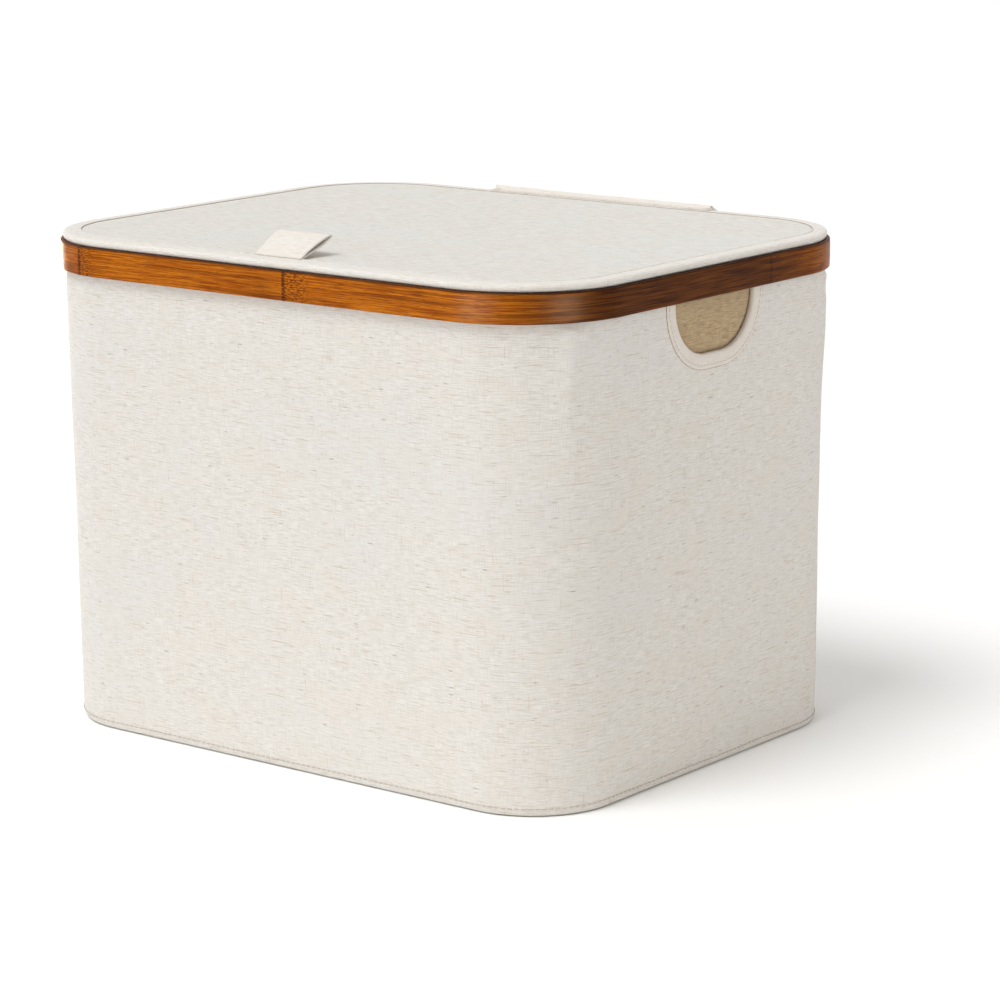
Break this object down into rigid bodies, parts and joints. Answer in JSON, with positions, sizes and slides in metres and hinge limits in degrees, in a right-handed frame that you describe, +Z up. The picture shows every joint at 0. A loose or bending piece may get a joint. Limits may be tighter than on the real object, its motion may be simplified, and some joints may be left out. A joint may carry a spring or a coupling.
{
  "type": "lidded fabric storage box",
  "caption": "Rounded rectangular canvas storage box with a bent bamboo rim, a flat tape-hinged lid with a pull tab, and a hand hole under the rim at each end.",
  "frame": {"origin": "centre of the box's footprint, on the floor it stands on", "axes": "+Z up, +X to the right along the width, +Y to the back where the lid is hinged; the pull tab is at the front, -Y"},
  "size_m": [0.4, 0.3264, 0.3117],
  "materials": {
    "canvas": "matte cotton and linen canvas, cream with tan slubs",
    "facing": "matte, fine cream cotton",
    "lining": "matte khaki linen",
    "tape": "matte cotton tape",
    "thread": "matte sewing thread",
    "board": "matte grey-brown fibre board",
    "bamboo": "lacquered caramel bamboo with fine lengthwise grain",
    "wire": "zinc-plated wire"
  },
  "bodies": {
    "bin": {"bamboo_rim": "bamboo", "outer_cover": "canvas", "outer_bottom": "canvas", "front_board": "board", "rear_board": "board", "left_board": "board", "right_board": "board", "base_board": "board", "lining_wall": "lining", "lining_bottom": "lining", "top_binding": "tape", "rim_staples": "wire", "right_hole_facing": "facing", "left_hole_facing": "facing", "right_hole_stitching": "thread", "left_hole_stitching": "thread", "bottom_seam": "thread", "rear_seam_strip": "canvas", "tape_anchor": "tape", "tape_anchor_stitching": "thread"},
    "hinge_tape": {"tape_link": "tape"},
    "lid": {"lid_board": "board", "lid_top_panel": "canvas", "lid_lining": "lining", "lid_border": "facing", "lid_welt": "facing", "tape_hem": "tape", "tape_hem_stitching": "thread"},
    "tab": {"pull_tab": "tape"}
  },
  "joints": [
    {"name": "tape_fold", "type": "hinge", "parent": "bin", "child": "hinge_tape", "pos_m": [0, 0.1636, 0.2954], "axis": [-1, 0, 0], "range_deg": [0, 120]},
    {"name": "lid_swing", "type": "hinge", "parent": "hinge_tape", "child": "lid", "pos_m": [0, 0.1636, 0.3016], "axis": [-1, 0, 0], "range_deg": [0, 120]},
    {"name": "tab_lift", "type": "hinge", "parent": "lid", "child": "tab", "pos_m": [0, -0.1472, 0.301], "axis": [1, 0, 0], "range_deg": [-17, 140], "stiffness_Nm_per_rad": 0.01}
  ],
  "couplings": [
    {"joint": "tape_fold", "follows": "lid_swing", "ratio": 1}
  ]
}
